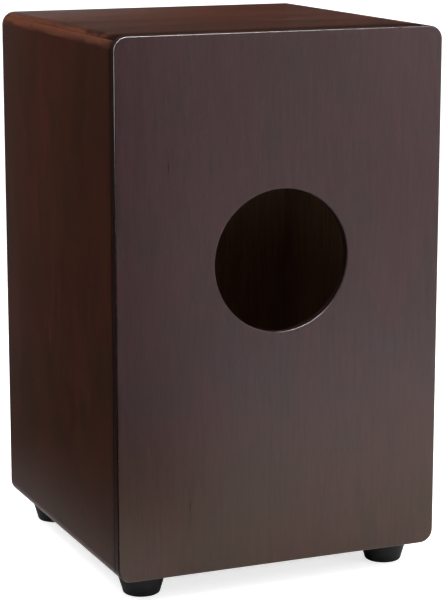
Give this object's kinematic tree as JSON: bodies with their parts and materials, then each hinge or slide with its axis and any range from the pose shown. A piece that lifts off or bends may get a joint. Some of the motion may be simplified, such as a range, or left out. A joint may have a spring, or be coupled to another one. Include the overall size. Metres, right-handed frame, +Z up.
{
  "type": "cajon",
  "caption": "Box drum with a thin screwed front plate, a round sound hole in the rear panel, rubber feet and an inner snare bar that a lever swings off the plate.",
  "frame": {"origin": "on the floor, under the middle of the box", "axes": "+Z up; the front plate (tapa) faces -Y and the rear panel with the sound hole faces +Y; +X is to the right of a viewer who looks along +Y, at the front plate"},
  "size_m": [0.3, 0.296, 0.482],
  "materials": {
    "shell": "dark brown stained plywood, satin lacquer",
    "rear_panel": "dark plum-brown stained veneer, satin lacquer",
    "tapa": "dark brown stained veneer, satin lacquer",
    "raw_wood": "unfinished softwood",
    "rubber": "matte black",
    "black_steel": "black oxide",
    "steel": "bright, lightly brushed",
    "cork": "pressed cork"
  },
  "bodies": {
    "box": {"bottom_panel": "shell", "corner_cleat_bottom_left": "raw_wood", "corner_cleat_bottom_right": "raw_wood", "corner_cleat_top_left": "raw_wood", "corner_cleat_top_right": "raw_wood", "foot_front_left": "rubber", "foot_front_right": "rubber", "foot_rear_left": "rubber", "foot_rear_right": "rubber", "foot_screw_front_left": "black_steel", "foot_screw_front_right": "black_steel", "foot_screw_rear_left": "black_steel", "foot_screw_rear_right": "black_steel", "foot_washer_front_left": "steel", "foot_washer_front_right": "steel", "foot_washer_rear_left": "steel", "foot_washer_rear_right": "steel", "friction_washer_left": "cork", "friction_washer_right": "cork", "left_side_panel": "shell", "pivot_block_left": "raw_wood", "pivot_block_right": "raw_wood", "rear_panel": "rear_panel", "right_side_panel": "shell", "stop_pin_left": "steel", "stop_pin_right": "steel", "tapa": "tapa", "tapa_screw_bottom_1": "black_steel", "tapa_screw_bottom_2": "black_steel", "tapa_screw_bottom_3": "black_steel", "tapa_screw_left_1": "black_steel", "tapa_screw_left_2": "black_steel", "tapa_screw_left_3": "black_steel", "tapa_screw_left_4": "black_steel", "tapa_screw_left_5": "black_steel", "tapa_screw_right_1": "black_steel", "tapa_screw_right_2": "black_steel", "tapa_screw_right_3": "black_steel", "tapa_screw_right_4": "black_steel", "tapa_screw_right_5": "black_steel", "tapa_screw_top_1": "black_steel", "tapa_screw_top_2": "black_steel", "tapa_screw_top_3": "black_steel", "top_panel": "shell"},
    "snare": {"clip_screw_left_1": "black_steel", "clip_screw_left_2": "black_steel", "clip_screw_right_1": "black_steel", "clip_screw_right_2": "black_steel", "half_snare_left": "steel", "half_snare_right": "steel", "lever_grip": "rubber", "lever_screw_1": "black_steel", "lever_screw_2": "black_steel", "pivot_pin_left": "steel", "pivot_pin_right": "steel", "snare_bar": "raw_wood", "snare_lever": "steel"}
  },
  "joints": [
    {"name": "snare_off", "type": "hinge", "parent": "box", "child": "snare", "pos_m": [0, -0.125, 0.336], "axis": [-1, 0, 0], "range_deg": [0, 20]}
  ]
}
